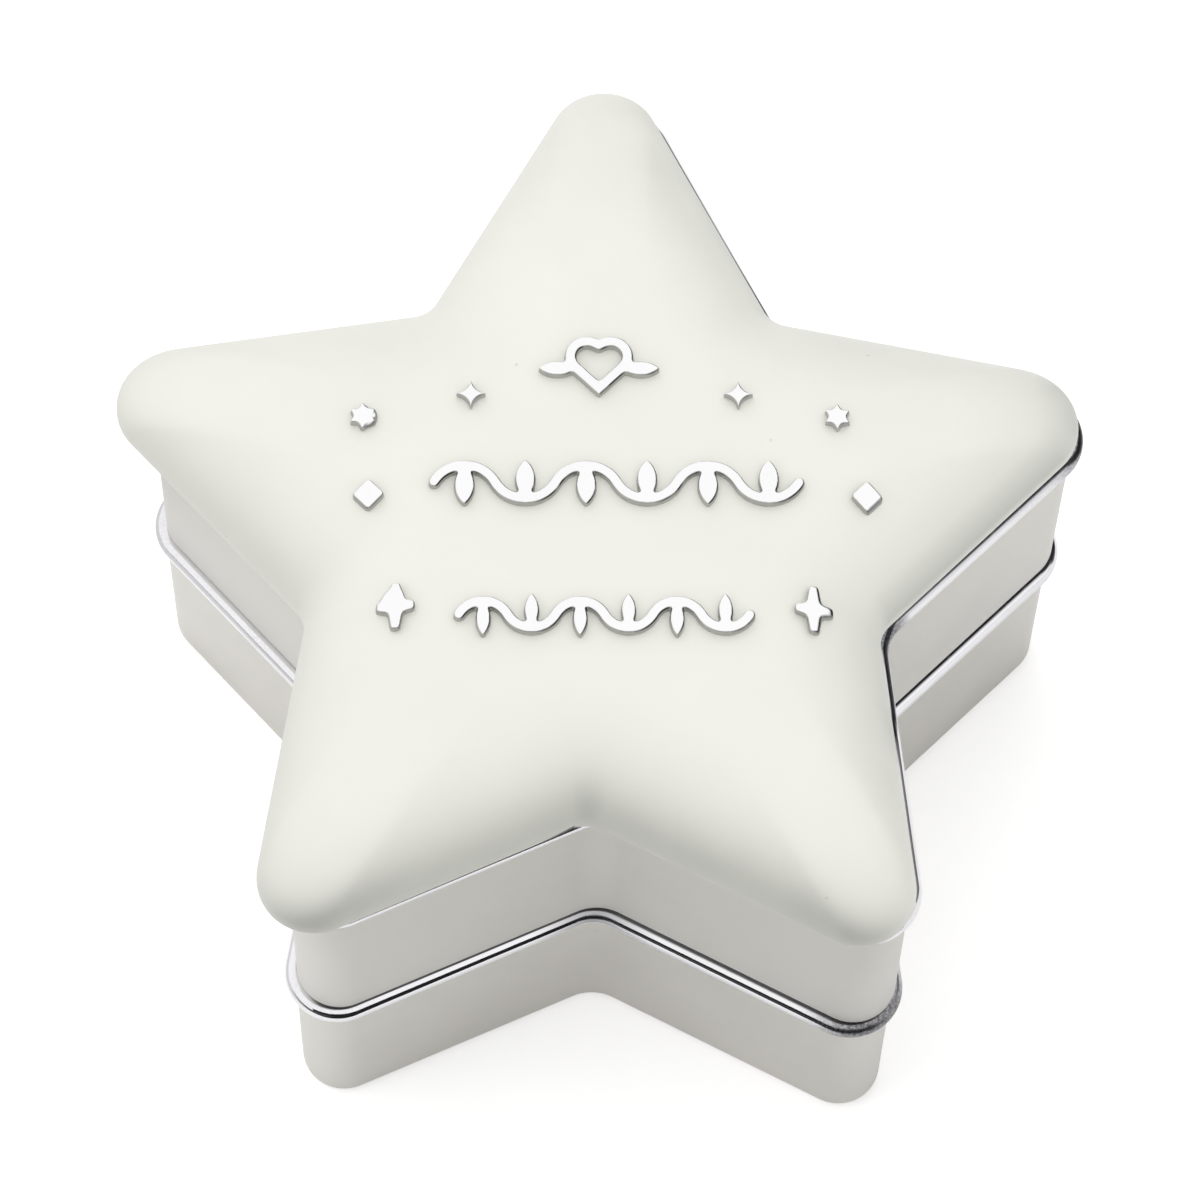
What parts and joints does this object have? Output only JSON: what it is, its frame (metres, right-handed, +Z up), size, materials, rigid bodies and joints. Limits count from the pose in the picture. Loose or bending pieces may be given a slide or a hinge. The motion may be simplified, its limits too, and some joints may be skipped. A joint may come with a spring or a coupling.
{
  "type": "keepsake box",
  "caption": "Star-shaped metal keepsake box: a loose domed lid with raised polished ornaments on stacking trays with bead rims.",
  "frame": {"origin": "centre of the star on the flat base", "axes": "+Z up through the lid, +Y along the star's back arm, +X to the right seen from the front"},
  "size_m": [0.0735, 0.0699, 0.0492],
  "materials": {
    "satin_plate": "fine satin silver plate",
    "polished_plate": "bright polished silver plate",
    "velvet": "short pile velvet over a thin pad",
    "felt": "dense felt"
  },
  "bodies": {
    "lower_tray": {"lower_tray_shell": "satin_plate", "lower_tray_rim": "polished_plate", "lower_tray_lining": "velvet", "base_felt": "felt"},
    "upper_tray": {"upper_tray_shell": "satin_plate", "upper_tray_rim": "polished_plate", "upper_tray_locating_ring": "satin_plate", "upper_tray_lining": "velvet"},
    "lid": {"lid_dome": "satin_plate", "lid_closing_plate": "satin_plate", "lid_locating_ring": "satin_plate", "four_point_star_left": "polished_plate", "four_point_star_right": "polished_plate", "six_point_star_left": "polished_plate", "six_point_star_right": "polished_plate", "diamond_left": "polished_plate", "diamond_right": "polished_plate", "cross_star_left": "polished_plate", "cross_star_right": "polished_plate", "upper_ornament": "polished_plate", "middle_ornament": "polished_plate", "lower_ornament": "polished_plate"}
  },
  "joints": [
    {"name": "upper_tray_lift", "type": "slide", "parent": "lower_tray", "child": "upper_tray", "axis": [0, 0, 1], "range_m": [0, 0.03]},
    {"name": "lid_lift", "type": "slide", "parent": "upper_tray", "child": "lid", "axis": [0, 0, 1], "range_m": [0, 0.03]}
  ]
}
